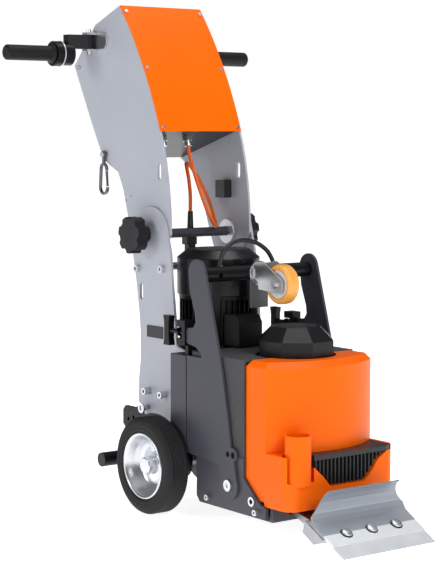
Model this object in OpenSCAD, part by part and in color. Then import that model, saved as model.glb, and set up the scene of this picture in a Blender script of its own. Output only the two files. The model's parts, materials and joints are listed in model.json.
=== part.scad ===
// Walk-behind floor stripper: a vibrating blade under a ballasted head, a
// hydraulic wheel drive behind it, and a hinged console with folding handlebars.
// Millimetres, +Z up, front towards -Y, origin on the floor under the middle.

/* [Wheels] */
// Diameter of the solid rubber drive wheels
wheel_d = 200; // [180:5:220]
// Width of a drive wheel
wheel_w = 53; // [40:1:54]
// Distance from the middle to a wheel's outer face
track_half = 203; // [201:0.5:205]

/* [Blade] */
// Width of the scraper blade
blade_w = 233; // [150:1:300]
// Angle of the blade to the floor
blade_angle = 28; // [20:1:35]
// Throw of the eccentric that shakes the blade carrier
throw = 2.5; // [1:0.5:3]

/* [Chassis] */
// Half the distance over the light lower side plates
low_half = 112.6; // [112.6:0.1:112.6]
// Half the distance over the horn plates
horn_half = 147; // [147:1:147]
// Thickness of the lower side plates and horn plates
plate_t = 6; // [5:1:6]
// Height of the head's cross bar above the floor
bar_z = 496; // [490:1:505]

/* [Console] */
// Half the distance over the upper plates of the console
top_half = 106; // [106:1:106]
// Thickness of the upper plates
top_t = 5; // [4:1:5]
// Diameter of a handlebar grip
grip_d = 33; // [30:1:36]
// Length of a handlebar grip
grip_l = 117; // [100:1:125]

/* [Hidden] */
axle_y = 65.5;
axle_z = wheel_d / 2;
pivot = [110, 567];
tie_a = [141, 493];
tie_b = [50, 497];
tie_c = [102, 235];
tie_d = [43, 234];
stud = [108, 199];
bar_y = -115;
head_c = [0, -250];
pump_c = [0, 8];
castor_ax = [-207, 478];
pin_xy = [122, 317];
socket_xy = [-101, -381];
grip_yz = [335, 951];
hook_yz = [277, 733];
foot_bar = [150, 90];
blade_edge_y = -534;
blade_slope = tan(blade_angle);
fit = 0.05;
gap = 0.4;

light_grey = [0.74, 0.76, 0.80];
dark_grey = [0.27, 0.27, 0.30];
black = [0.08, 0.08, 0.09];
orange = [1.0, 0.42, 0.04];
zinc = [0.72, 0.74, 0.76];
steel = [0.60, 0.62, 0.64];

// ---- shared shapes -------------------------------------------------------

// Everything is drawn about the wheel axle, then moved so that the box is centred.
module machine() {
    translate([0, axle_y, 0]) children();
}

module mirrored() {
    children();
    mirror([1, 0, 0]) children();
}

module box(lo, hi) {
    translate(lo) cube(hi - lo);
}

// A plate drawn in the side view (Y, Z), from x0 to x0 + t.
module side_plate(x0, t) {
    translate([x0, 0, 0]) rotate([90, 0, 90]) linear_extrude(t) children();
}

module x_rod(yz, r, x0, x1, sides = 48) {
    translate([x0, yz[0], yz[1]]) rotate([0, 90, 0]) cylinder(r = r, h = x1 - x0, $fn = sides);
}

module y_rod(xz, r, y0, y1, sides = 48) {
    translate([xz[0], y1, xz[1]]) rotate([90, 0, 0]) cylinder(r = r, h = y1 - y0, $fn = sides);
}

module z_rod(xy, r, z0, z1, sides = 64) {
    translate([xy[0], xy[1], z0]) cylinder(r = r, h = z1 - z0, $fn = sides);
}

// A cap screw's head on a plate face, with its hexagon socket, pointing to -X.
module cap_head(yz, x, r, h) {
    difference() {
        x_rod(yz, r, x - h, x, 32);
        x_rod(yz, r * 0.52, x - h - 1, x - h * 0.45, 6);
    }
}

// Points of an arc from a to b that bulges by s to the left of the way a to b.
function arc(a, b, s, n) =
    let (c = norm(b - a),
         u = (b - a) / c,
         r = (c * c / 4 + s * s) / (2 * abs(s)),
         v = [-u[1], u[0]] * sign(s),
         o = (a + b) / 2 - v * (r - abs(s)),
         a0 = atan2((a - o)[1], (a - o)[0]),
         turn = -sign(s) * 2 * asin(min(1, c / (2 * r))),
         full = abs(s) > r ? -sign(s) * 360 - turn : turn)
    [for (i = [0:n]) o + r * [cos(a0 + full * i / n), sin(a0 + full * i / n)]];

// Point i of a polyline, moved d to its left with a mitred corner.
function side_of(p, i) = let (u = unit(p[i + 1] - p[i])) [-u[1], u[0]];
function offset_point(p, i, d) =
    let (a = side_of(p, max(i - 1, 0)), b = side_of(p, min(i, len(p) - 2)))
    p[i] + d * (a + b) / (1 + a * b);

// A bent sheet of thickness t along a polyline.
module sheet(points, t) {
    last = len(points) - 1;
    polygon(concat([for (i = [0:last]) offset_point(points, i, t / 2)],
        [for (i = [last:-1:0]) offset_point(points, i, -t / 2)]));
}

// Sweeps a round tube along a chain of points, as one polyhedron.
function unit(v) = v / norm(v);
function catmull(p, i, t) =
    let (a = p[max(i - 1, 0)], b = p[i], c = p[i + 1], d = p[min(i + 2, len(p) - 1)])
    0.5 * (2 * b + (c - a) * t + (2 * a - 5 * b + 4 * c - d) * t * t
        + (3 * b - a - 3 * c + d) * t * t * t);
function smooth(p, n) = [for (i = [0:len(p) - 2]) for (k = [0:n - 1]) catmull(p, i, k / n), p[len(p) - 1]];
function tangents(p) = [for (i = [0:len(p) - 1]) unit(p[min(i + 1, len(p) - 1)] - p[max(i - 1, 0)])];
function frames(t, u, i = 0) = i >= len(t) ? [] :
    let (v = unit(u - (u * t[i]) * t[i])) concat([v], frames(t, v, i + 1));
module tube(points, r, sides) {
    t = tangents(points);
    u = frames(t, [1, 0.2, 0.1]);
    rings = [for (i = [0:len(points) - 1]) for (k = [0:sides - 1])
        points[i] + r * (cos(360 * k / sides) * u[i] + sin(360 * k / sides) * cross(t[i], u[i]))];
    last = (len(points) - 1) * sides;
    walls = [for (i = [0:len(points) - 2]) for (k = [0:sides - 1])
        [i * sides + k, (i + 1) * sides + k, (i + 1) * sides + (k + 1) % sides, i * sides + (k + 1) % sides]];
    ends = [[for (k = [0:sides - 1]) k], [for (k = [sides - 1:-1:0]) last + k]];
    polyhedron(points = rings, faces = concat(walls, ends), convexity = 8);
}

// ---- chassis and head ----------------------------------------------------

// Welded floor of the head: bottom plate, side plates, front lip, motor ring.
module base_frame() {
    color(dark_grey) machine() {
        difference() {
            union() {
                box([-133, -345, 36], [133, -110, 46]);
                box([-133, -345, 46], [133, -337, 62]);
                z_rod(head_c, 75, 46, 112);
            }
            z_rod(head_c, 60, 46, 113);
            box([-92, -346, 47], [92, -326, 70]);
            box([-60, -330, 47], [60, -185, 70]);
        }
        mirrored() side_plate(133, 8) difference() {
            polygon([[-108, 150], [-108, 51], [-118, 39], [-332, 39], [-332, 62], [-312, 67.5],
                [-262.6, 110.5], [-262.6, 150]]);
            translate([-290, 69]) circle(r = 5, $fn = 32);
        }
    }
}

// Screws of the base: pan heads on the horn feet, caps along the base plates.
module base_bolts() {
    color(zinc) machine() mirrored() {
        difference() {
            x_rod([-222, 90], 11.5, -151, -147);
            x_rod([-222, 90], 4.5, -152, -148.5, 6);
        }
        cap_head([-151, 54], -141, 6, 9);
        cap_head([-307, 51], -141, 6, 9);
        difference() {
            x_rod([-290, 69], 9.5, -144, -141);
            x_rod([-290, 69], 5, -145, -140);
        }
    }
}

// A horn plate carries the cross bar, clamps behind and bolts to the base.
module horn_shape() {
    difference() {
        union() {
            polygon(concat(arc([-88, 501], [-143, 509], -24, 12),
                [[-171, 414], [-199, 320], [-220, 220], [-230, 159], [-240, 136], [-249, 92],
                 [-222, 75], [-204, 80], [-188, 128], [-82, 134], [-82, 333], [-131, 333], [-131, 341],
                 [-112, 353], [-85, 357], [-81, 360], [-81, 384], [-85, 389], [-104, 391],
                 [-112, 402], [-110, 419], [-94, 461]]));
            translate([-222, 90]) circle(r = 28, $fn = 64);
            translate([-233, 152]) circle(r = 14, $fn = 48);
        }
        translate([-219, 152]) circle(r = 5.5, $fn = 24);
        translate([-236, 152]) circle(r = 6.5, $fn = 24);
    }
}

module horn_right() {
    color(dark_grey) machine() side_plate(-horn_half, plate_t) horn_shape();
}

module horn_left() {
    color(dark_grey) machine() side_plate(horn_half - plate_t, plate_t) horn_shape();
}

// Round cross bar between the horns, with a post down to the head's cover.
module crossbar() {
    inner = horn_half - plate_t;
    color(black) machine() difference() {
        union() {
            x_rod([bar_y, bar_z], 15, -inner, inner);
            box([-112, -121, 342], [-92, -109, bar_z]);
        }
        y_rod([0, bar_z], 6.1, bar_y - 20, bar_y + 20);
        y_rod([-96, bar_z - 1], 4.5, bar_y - 20, bar_y);
    }
}

// Small plate welded under the cross bar.
module tab_plate() {
    color([0.33, 0.34, 0.36]) machine() difference() {
        box([-2, -108, bar_z - 74], [42, -102, bar_z - 10]);
        x_rod([bar_y, bar_z], 15.02, -50, 50);
    }
}

// Bent steel frame behind the horns: cheeks, flanges to the side plates, motor deck.
module rear_housing() {
    cheek = horn_half - plate_t;
    color(dark_grey) machine() difference() {
        union() {
            mirrored() {
                box([cheek, -79, 134], [horn_half, -25, 332]);
                box([low_half, -31, 134], [cheek, -25, 332]);
            }
            box([-cheek, -79, 326], [cheek, -60, 332]);
            box([-low_half + plate_t, -60, 326], [low_half - plate_t, 92, 332]);
            mirrored() box([low_half, -60, 326], [cheek, -31, 332]);
        }
        z_rod(pump_c, 30, 320, 340);
    }
}

// Lower side plate, light grey, from the pivot boss down over the wheel.
module side_shape() {
    difference() {
        polygon(concat(arc([154, 578], [37, 578], -48, 20),
            [[31, 556], [24, 531], [17, 462], [9, 402], [2, 340], [-60, 325], [-60, 200], [28, 179]],
            arc([28, 179], [118, 182], 9, 8),
            [[130, 192], [143, 208], [142, 255], [135, 302], [135, 361], [139, 400], [151, 471],
             [162, 520]]));
        translate(pivot) circle(r = 8 + fit, $fn = 64);
        for (z = [434, 456]) translate([131, z]) circle(r = 6, $fn = 32);
        translate([125, 434]) square([12, 22]);
        for (p = [tie_a, tie_b, tie_c, tie_d, stud]) translate(p) circle(r = 5.1, $fn = 32);
    }
}

module side_right() {
    color(light_grey) machine() side_plate(-low_half, plate_t) side_shape();
}

module side_left() {
    color(light_grey) machine() side_plate(low_half - plate_t, plate_t) side_shape();
}

// Tie rods between the side plates, their cap heads, the studs and a rating plate.
module frame_ties() {
    inner = low_half - plate_t;
    color(zinc) machine() {
        difference() {
            x_rod(tie_a, 9, -inner, inner);
            x_rod(tie_a, 5, -inner - 1, inner + 1);
        }
        x_rod(tie_a, 5, -low_half, low_half, 32);
        mirrored() cap_head(tie_a, -low_half, 8, 9);
        mirrored() {
            cap_head(tie_b, -low_half, 8, 9);
            x_rod(tie_b, 5, -low_half, -inner, 32);
            x_rod(tie_b, 9, -inner, -inner + 8);
        }
        for (p = [tie_c, tie_d]) mirrored() {
            cap_head(p, -low_half, 7.5, 16);
            x_rod(p, 5, -low_half, -inner + 8, 32);
        }
        mirrored() {
            x_rod(stud, 5, -129, -inner + 8, 32);
            cap_head(stud, -127, 11, 4);
        }
        box([-low_half - 1, 50, 351], [-low_half, 108, 375]);
    }
}

// Black weldment under the side plates: axle bearings, rear lobes, tread bar.
module foot_frame() {
    inner = low_half - plate_t;
    color(black) machine() {
        difference() {
            union() {
                mirrored() side_plate(inner - 8, 8) {
                    polygon([[20, 255], [112, 255], [128, 212], [165, 190], [205, 190], [213, 180],
                        [213, 150], [198, 138], [180, 118], [174, 84], [150, 66], [0, 64], [-34, 84]]);
                    translate([0, axle_z]) circle(r = 36, $fn = 64);
                    translate(foot_bar) circle(r = 24, $fn = 48);
                }
                x_rod(foot_bar, 15, -204, 204);
                box([-inner + 8, 60, 160], [inner - 8, 68, 200]);
            }
            x_rod([0, axle_z], 12.5 + fit, -120, 120, 64);
            for (p = [tie_c, tie_d, stud]) x_rod(p, 5.1, -120, 120, 32);
            for (p = [[192, 162], [172, 168]]) x_rod(p, 4, -120, 120, 24);
        }
    }
}

// Stator of the vibration motor, standing on the base ring.
module vib_motor() {
    color(black) machine() difference() {
        union() {
            z_rod(head_c, 75, 112, 122);
            z_rod(head_c, 66, 122, 322);
            z_rod(head_c, 75, 322, 332);
        }
        z_rod(head_c, 12 + fit, 100, 340);
        z_rod(head_c, 42, 132, 312);
    }
}

// Fan cowl: a drum with a cone and a pierced top.
module cowl(c, r, z0, z1, z2, r2, t) {
    translate([c[0], c[1], 0]) difference() {
        rotate_extrude($fn = 72) polygon([[r - t, z0], [r, z0], [r, z1], [r2, z2], [0, z2],
            [0, z2 - t], [r2 - t, z2 - t], [r - t, z1 - 1]]);
        for (i = [0:7]) rotate(i * 45) translate([r2 * 0.35, -2, z2 - t - 1])
            cube([r2 * 0.5, 4, t + 2]);
    }
}

// Eight-sided cowl of the vibration motor: walls, sloping shoulders, pierced top.
module vib_cowl() {
    color(black) machine() translate([head_c[0], head_c[1], 0]) rotate(8) rotate(22.5) difference() {
        union() {
            translate([0, 0, 332]) cylinder(r = 79, h = 40, $fn = 8);
            translate([0, 0, 372]) cylinder(r1 = 79, r2 = 51, h = 27, $fn = 8);
        }
        translate([0, 0, 331]) cylinder(r = 75, h = 40.5, $fn = 8);
        translate([0, 0, 371.4]) cylinder(r1 = 75, r2 = 48, h = 24.6, $fn = 8);
        for (i = [0:7]) rotate(i * 45) translate([16, -2, 390]) cube([24, 4, 12]);
    }
}

// Rotor with its fan on top and the eccentric pin at its foot.
module vib_shaft() {
    color(steel) machine() {
        z_rod(head_c, 12, 64, 350);
        z_rod(head_c, 40, 150, 294);
        z_rod([head_c[0], head_c[1] - throw], 8, 49, 64);
        difference() {
            z_rod(head_c, 58, 340, 352);
            for (i = [0:7]) translate([head_c[0], head_c[1], 338]) rotate(i * 45)
                translate([20, -10, 0]) cube([44, 20, 10]);
        }
    }
}

// Finned body of the pump motor, standing on the deck.
module pump_motor() {
    color(black) machine() translate([pump_c[0], pump_c[1], 0]) difference() {
        union() {
            z_rod([0, 0], 85, 332, 342);
            translate([0, 0, 342]) linear_extrude(99) {
                circle(r = 73, $fn = 72);
                for (i = [0:39]) rotate(i * 9 + 4.5) translate([69, -1.2]) square([13, 2.4]);
            }
            z_rod([0, 0], 83, 436, 444);
        }
        z_rod([0, 0], 10 + fit, 330, 450);
        z_rod([0, 0], 40, 352, 428);
    }
}

module pump_cowl() {
    color(black) machine() cowl(pump_c, 87, 444, 521, 538, 66, 3);
}

module pump_rotor() {
    color(steel) machine() {
        z_rod(pump_c, 10, 318, 520);
        z_rod(pump_c, 38, 360, 420);
        difference() {
            z_rod(pump_c, 60, 500, 514);
            for (i = [0:7]) translate([pump_c[0], pump_c[1], 498]) rotate(i * 45)
                translate([18, -11, 0]) cube([50, 22, 12]);
        }
    }
}

// Terminal box on the front of the pump motor, with a sloping top edge.
module terminal_box() {
    color(black) machine() difference() {
        side_plate(-41, 60) polygon([[-118, 344], [-118, 394], [-106, 409], [-50, 409], [-50, 344]]);
        z_rod(pump_c, 85.4, 340, 420, 72);
    }
}

// Hydraulic pump and oil tank, hung under the deck between the side plates.
module pump_unit() {
    color([0.35, 0.36, 0.38]) machine() {
        difference() {
            z_rod(pump_c, 55, 238, 326);
            z_rod(pump_c, 12, 300, 330);
        }
        z_rod(pump_c, 40, 212, 238);
    }
}

// Hydraulic gear motor round the live axle, bolted to the cross plate.
module wheel_motor() {
    color([0.35, 0.36, 0.38]) machine() difference() {
        union() {
            x_rod([0, axle_z], 45, -55, 55, 64);
            box([-40, 20, 120], [40, 60, 190]);
        }
        x_rod([0, axle_z], 12.5 + fit, -60, 60, 64);
    }
}

// Live axle with a hub at each end.
module axle() {
    inner = track_half - wheel_w;
    color(steel) machine() {
        x_rod([0, axle_z], 12.5, -inner - 12, inner + 12, 64);
    }
}

// Pressed dished rims with their hubs.
module rims() {
    inner = track_half - wheel_w;
    color(zinc) machine() mirrored() translate([-track_half, 0, axle_z]) rotate([0, 90, 0])
        difference() {
            union() {
                rotate_extrude($fn = 72) polygon([[0, 6], [17, 6], [17, 30], [44, 30], [56, 22],
                    [63, 4], [66, 1], [69, 1], [69, 4], [66, 8], [66, wheel_w - 6], [63, wheel_w - 6],
                    [63, 30], [50, 36], [24, 36], [24, wheel_w - 1], [0, wheel_w - 1]]);
            }
            translate([0, 0, wheel_w - 12]) cylinder(r = 12.5, h = 20, $fn = 64);
            for (i = [0:2]) rotate(i * 120 + 90) translate([36, 0, 25]) cylinder(r = 5, h = 20, $fn = 24);
        }
}

module tyres() {
    r = wheel_d / 2;
    color([0.16, 0.16, 0.17]) machine() mirrored() translate([-track_half, 0, axle_z])
        rotate([0, 90, 0]) rotate_extrude($fn = 96) polygon([[69, 4], [69, 1.5], [74, 0], [92, 0],
            [97, 2], [r, 6], [r, wheel_w - 6], [97, wheel_w - 2], [92, wheel_w], [74, wheel_w],
            [66, wheel_w - 2], [66, 8]]);
}

// Ballast block in front of the vibration motor.
module weight() {
    outline = concat(arc([-134.5, -322], [134.5, -322], -48, 16), [[134.5, -263], [-134.5, -263]]);
    color(orange) machine() difference() {
        union() {
            translate([0, 0, 72]) linear_extrude(258) polygon(outline);
            hull() {
                translate([0, 0, 330]) linear_extrude(0.1) polygon(outline);
                translate([0, -294, 342]) linear_extrude(0.1) scale([0.92, 0.78])
                    translate([0, 294]) polygon(outline);
            }
        }
        z_rod(head_c, 80, 60, 350);
        for (s = [-1, 1]) side_plate(s < 0 ? -140 : 60, 80)
            polygon([[-262, 70], [-262, 112], [-310, 70]]);
        box([-95, -400, 60], [95, -200, 76]);
    }
}

// Lower ballast and bumper, with the welded socket for the accessory tube.
module bumper() {
    outline = concat(arc([-136, -372], [-110, -398], -7.6, 8), arc([110, -398], [136, -372], -7.6, 8),
        [[136, -322]], arc([134.5, -322], [-134.5, -322], 48, 16), [[-136, -322]]);
    color(orange) machine() {
        difference() {
            translate([0, 0, 64]) linear_extrude(104) polygon(outline);
            z_rod(socket_xy, 31, 118, 171);
            box([-76, -402, 157.8], [127.6, -300, 170]);
            grille_bay(2);
        }
        difference() {
            z_rod(socket_xy, 25.5, 112, 208);
            z_rod(socket_xy, 22, 118, 209);
        }
    }
}

// Bay in the bumper's face, wider at the top, for the grille.
module grille_bay(g) {
    translate([0, -376, 0]) rotate([90, 0, 0]) linear_extrude(26)
        bay_shape(g);
}

module bay_shape(g) {
    polygon([[-88 - g, 159], [-72 - g, 147 - g], [-49 - g, 126 - g], [-31 - g, 106 - g],
        [52 + g, 106 - g], [71 + g, 125 - g], [86 + g, 145 - g], [112 + g, 159]]);
}

// Black plastic grille: a ledge up to the ballast block, over upright fins.
module grille() {
    back = [for (x = [127.2:-10.14:-76]) [x, -157.6 - sqrt(212.8 * 212.8 - x * x)]];
    color([0.12, 0.12, 0.13]) machine() {
        difference() {
            union() {
                translate([0, 0, 158]) linear_extrude(9.2) polygon(concat(
                    arc([-75.6, -398.4], [110, -398.4], -1.4, 8),
                    arc([110.5, -398], [127.2, -386], -2, 4), back));
                translate([0, -376, 0]) rotate([90, 0, 0]) linear_extrude(4) bay_shape(0);
                intersection() {
                    for (i = [-9:11]) box([i * 9.6 - 1.6, -395, 100], [i * 9.6 + 1.6, -379, 160]);
                    translate([0, -376, 0]) rotate([90, 0, 0]) linear_extrude(22) bay_shape(0);
                }
            }
            z_rod(socket_xy, 31.4, 100, 180);
        }
    }
}

// Textured steel cover round the vibration motor.
module head_cover() {
    color([0.22, 0.22, 0.24]) machine() difference() {
        box([-140, -262.5, 150], [140, -92, 342]);
        box([-134, -270, 140], [134, -98, 336]);
        z_rod(head_c, 80, 330, 350);
    }
}

// Swivel bolt and plate of the castor, through the cross bar.
module castor_mount() {
    color(zinc) machine() {
        y_rod([0, bar_z], 25, -133, -130.1);
        y_rod([0, bar_z], 6, -130.1, -100);
        y_rod([0, bar_z], 10, -100, -92, 6);
    }
}

module castor_fork() {
    color(zinc) machine() {
        y_rod([0, bar_z], 23, -139, -133.4);
        box([-19.5, -142, 487], [19.5, -139, 517]);
        mirrored() side_plate(-19.5, 3) polygon([[-139, 517], [-139, 487], [-151, 480],
            [-154, 465], [-214, 461], [-226, 463], [-229, 475], [-228, 487], [-187, 511], [-165, 522]]);
        x_rod(castor_ax, 4, -22, 22, 32);
        mirrored() x_rod(castor_ax, 7.5, -25, -19.5, 6);
    }
}

module castor_wheel() {
    color([0.96, 0.66, 0.20]) machine() translate([0, castor_ax[0], castor_ax[1]])
        rotate([0, 90, 0]) rotate_extrude($fn = 64) polygon([[4 + fit, -15.5], [9, -15.5], [12, -10],
            [24, -10], [27, -15], [36, -15], [40, -11], [40, 11], [36, 15], [27, 15], [24, 10],
            [12, 10], [9, 15.5], [4 + fit, 15.5]]);
}

// Control cable that leaves the cross bar, arches over it and goes back in.
head_cable_route = [[-84, -112, 511], [-84, -111, 520], [-74, -109, 540], [-50, -106, 557],
    [-20, -104, 562], [12, -104, 556], [38, -106, 540], [50, -109, 522], [52, -112, 511]];
module head_cable() {
    color(black) machine() {
        tube(smooth(head_cable_route, 4), 4.5, 10);
        for (x = [-84, 52]) difference() {
            z_rod([x, -112], 7.5, 503, 513, 32);
            x_rod([bar_y, bar_z], 15.02, -100, 100);
        }
    }
}

// Forked blocks on the horn arms that take the tee screws.
module clamp_blocks() {
    color(black) machine() mirrored() difference() {
        union() {
            box([-151, -80.9, 352], [-129, -52, 403]);
            box([-141, -79, 332], [-131, -69, 353]);
        }
        box([-160, -70, 366], [-120, -51, 389]);
        y_rod([-139.5, 377.5], 5 + fit, -90, -30);
    }
}

module tee() {
    y_rod([-139.5, 377.5], 5, -79, -16);
    y_rod([-139.5, 377.5], 9, -51.6, -45);
    side_plate(-146.5, 14) polygon([[-21, 347], [1, 347], [-2, 362], [-2, 393], [1, 408],
        [-21, 408], [-18, 393], [-18, 362]]);
}

module tee_right() {
    color(black) machine() tee();
}

module tee_left() {
    color(black) machine() mirror([1, 0, 0]) tee();
}

// ---- console on its pivot ------------------------------------------------

// Pivot tube with flange discs; its journals run in the lower side plates.
module pivot_tube() {
    inside = top_half - top_t;
    color([0.30, 0.31, 0.33]) machine() {
        x_rod(pivot, 10, -inside + 5, inside - 5);
        x_rod(pivot, 8, -132, 132, 64);
        mirrored() x_rod(pivot, 26.5, -inside, -inside + 5, 64);
    }
}

// Star knob: seven lobes on a hub, turned on the pivot's thread.
module knob() {
    translate([-low_half - gap, pivot[0], pivot[1]]) rotate([0, -90, 0]) difference() {
        union() {
            cylinder(r = 17, h = 22, $fn = 48);
            translate([0, 0, 20]) linear_extrude(26) difference() {
                circle(r = 39, $fn = 72);
                for (i = [0:6]) rotate(i * 360 / 7) translate([43, 0]) circle(r = 10, $fn = 32);
            }
        }
        translate([0, 0, -1]) cylinder(r = 8 + fit, h = 26, $fn = 64);
    }
}

module knob_right() {
    color(black) machine() knob();
}

module knob_left() {
    color(black) machine() mirror([1, 0, 0]) knob();
}

// Upper plate: a long curved blade from the pivot to the sloping console.
module upper_shape() {
    difference() {
        polygon(concat(arc([220, 1051], [69, 783], -12.4, 10), arc([69, 783], [33, 569], -9.7, 8),
            arc([52, 545], [168, 545], -40, 16),
            [[191, 602], [209, 660], [229, 696], [261, 710], [287, 724], [341, 816], [403, 929],
             [316, 1015]]));
        translate(pivot) circle(r = 8, $fn = 64);
        for (z = [689, 711]) translate([72, z]) circle(r = 6, $fn = 32);
        translate([66, 689]) square([12, 22]);
        for (p = [[179, 646], [198, 636]]) translate(p) circle(r = 2.2, $fn = 16);
    }
}

module upper_right() {
    color(light_grey) machine() side_plate(-top_half, top_t) difference() {
        upper_shape();
        translate(hook_yz) circle(r = 3, $fn = 24);
    }
}

module upper_left() {
    color(light_grey) machine() side_plate(top_half - top_t, top_t) upper_shape();
}

// Curved orange front panel over the edges of the upper plates.
module front_panel() {
    inner = arc([220, 1051], [69, 783], -12.4, 10);
    outer = [for (p = inner) p + 2 * unit([-274, 155])];
    rev = [for (i = [len(outer) - 1:-1:0]) outer[i]];
    color(orange) machine() side_plate(-top_half, 2 * top_half)
        polygon(concat(inner, rev));
}

// Screws of the front panel, bolts near the rear corner and the hook's screw.
module panel_screws() {
    color(zinc) machine() {
        for (s = [[207, 1039, 53], [127.7, 916.5, 61], [69.5, 792.5, 68]]) mirrored()
            translate([-97, s[0], s[1]]) rotate([s[2], 0, 0]) translate([0, 0, -1])
                cylinder(r = 4, h = 3.4, $fn = 24);
        mirrored() x_rod([383, 923], 5, -top_half - 4, -top_half, 24);
        x_rod(hook_yz, 3, -114.5, -top_half + top_t, 24);
        x_rod(hook_yz, 6, -117.5, -114.5, 32);
    }
}

// Folded black steel: rear wall, control face, top and floor of the console.
module box_back() {
    inside = top_half - top_t;
    skin = [[216, 1043], [313, 1008], [396, 929], [280, 727], [78, 786]];
    color(black) machine() difference() {
        side_plate(-inside, 2 * inside) sheet(skin, 3);
        for (h = [[-55, 22], [0, 12], [55, 10]]) translate([h[0], 355, 969]) rotate([-45, 0, 0])
            cylinder(r = h[1] / 2 + 1, h = 40, center = true, $fn = 32);
    }
}

// Cable glands in the console's floor and the clip on the far plate.
module glands() {
    color(zinc) machine() {
        for (g = [[0, 122, 771.5, 8], [-62, 124, 770.9, 7]])
            translate([g[0], g[1], g[2]]) rotate([-16.4, 0, 0]) {
                translate([0, 0, -9.5]) cylinder(r = g[3] + 3, h = 9.5, $fn = 6);
                translate([0, 0, -20.5]) cylinder(r = g[3], h = 11, $fn = 32);
            }
        box([81, 96, 640], [101, 128, 678]);
    }
}

// Motor lead: down from the gland, round a hanging bight, up, over and down.
motor_cable_route = [[0, 116, 751.1], [0, 110, 731], [3, 96, 691], [8, 80, 650], [14, 68, 618],
    [27, 66, 592], [47, 81, 580], [67, 109, 587], [79, 137, 611], [80, 160, 645], [71, 176, 679],
    [54, 181, 705], [34, 170, 714], [18, 147, 705], [13, 132, 678], [13, 127, 645], [13, 127, 612]];
module motor_cable() {
    color(orange) machine() tube(smooth(motor_cable_route, 3), 4, 10);
}

// Moulded boot and bracket that take the motor lead behind the pivot tube.
module cable_socket() {
    color(black) machine() {
        translate([13, 127, 574]) cylinder(r1 = 7, r2 = 5.6, h = 38, $fn = 32);
        box([0, 120.5, 540], [26, 140, 574]);
        difference() {
            box([4, 70, 518], [22, 120.5, 524]);
            z_rod(pump_c, 87, 510, 530, 72);
        }
        box([4, 120.5, 518], [22, 136, 540]);
    }
}

// Folding-bar brackets on the upper plates, with their upright pins.
module handle_brackets() {
    color(zinc) machine() mirrored() {
        difference() {
            union() {
                side_plate(-top_half - 5, 5) {
                    translate([283, 961]) square([46, 37]);
                    translate([283, 979.5]) circle(r = 18.5, $fn = 48);
                }
                for (z = [957, 993]) linear_extrude_at(z, 5) {
                    translate([-133, 306]) square([27, 22]);
                }
            }
            z_rod([-pin_xy[0], pin_xy[1]], 5, 940, 1010, 32);
        }
        z_rod([-pin_xy[0], pin_xy[1]], 5, 950, 1005, 32);
    }
}

module linear_extrude_at(z, h) {
    translate([0, 0, z]) linear_extrude(h) children();
}

// Folding bar: an eye on the pin, an arm, a round knuckle and the steel core.
module bar() {
    difference() {
        union() {
            linear_extrude_at(962.4, 30.2) {
                translate([-pin_xy[0], pin_xy[1]]) circle(r = 10, $fn = 48);
                polygon([[-120, 326.8], [-120, 307.2], [-172, 322], [-172, 342], [-150, 342]]);
            }
            x_rod(grip_yz, 25, -188, -160);
            x_rod(grip_yz, 27, -204, -188);
            x_rod(grip_yz, 11, -204 - grip_l + 4, -204);
        }
        z_rod([-pin_xy[0], pin_xy[1]], 5 + fit, 940, 1010, 32);
    }
}

module bar_right() {
    color(black) machine() bar();
}

module bar_left() {
    color(black) machine() mirror([1, 0, 0]) bar();
}

module grip() {
    r = grip_d / 2;
    translate([-204, grip_yz[0], grip_yz[1]]) rotate([0, -90, 0]) difference() {
        rotate_extrude($fn = 48) polygon([[0, 0], [21, 0], [21, 4], [r, 7], [r, grip_l - 4],
            [r - 4, grip_l], [0, grip_l]]);
        translate([0, 0, -1]) cylinder(r = 11, h = grip_l - 3, $fn = 48);
    }
}

module grip_right() {
    color(black) machine() grip();
}

module grip_left() {
    color(black) machine() mirror([1, 0, 0]) grip();
}

// Snap hook on its screw: an eye, a shank and a long loop with a gap for the gate.
module snap_hook() {
    color(steel) machine() side_plate(-114, 6) difference() {
        union() {
            translate(hook_yz) circle(r = 8, $fn = 32);
            translate([273.8, 711.2]) square([6.4, 16]);
            hook_loop(14, 17);
        }
        translate(hook_yz) circle(r = 3.4, $fn = 32);
        hook_loop(8.5, 11.5);
        translate([255, 662.8]) square([15, 35.4]);
    }
}

// Outline of the loop: a small round end over a larger one.
module hook_loop(top, bottom) {
    polygon(concat(arc([277 - top, 701], [277 + top, 701], top, 16),
        arc([277 + bottom, 662], [277 - bottom, 662], bottom, 16)));
}

module hook_gate() {
    color(steel) machine() side_plate(-113.4, 4.8) {
        translate([263, 666.5]) circle(r = 2.2, $fn = 24);
        polygon([[261.6, 666.5], [264.4, 666.5], [268.2, 697.6], [264, 697.6]]);
    }
}

// ---- blade ---------------------------------------------------------------

function blade_top(y) = (y - blade_edge_y) * blade_slope;

// Sliding carrier: a plate over the base, sloping down to the blade seat.
module blade_carrier() {
    color(zinc) machine() difference() {
        union() {
            box([-56, -334, 50], [56, -200, 58]);
            side_plate(-88, 176) polygon([[-328, 50], [-345, 50], [-413, 25], [-447, 10],
                [-480, 19], [-482, blade_top(-482) - 3.5], [-425, blade_top(-425) - 3.5],
                [-416, 46], [-405, 45], [-345, 58], [-328, 58]]);
            side_plate(-121, 242) polygon([[-426, blade_top(-426) - 3.5], [-420, 31], [-452, 13],
                [-470, 20], [-478, blade_top(-478) - 3.5]]);
        }
        z_rod(head_c, 14, 40, 70);
        for (x = [-63, 0, 63]) blade_screw(x, 4.1, 40, 2);
    }
}

// A screw's rod, square to the blade.
module blade_screw(x, r, length, above) {
    y = -478;
    translate([x, y, blade_top(y)]) rotate([blade_angle, 0, 0]) translate([0, 0, above - length])
        cylinder(r = r, h = length, $fn = 24);
}

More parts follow.
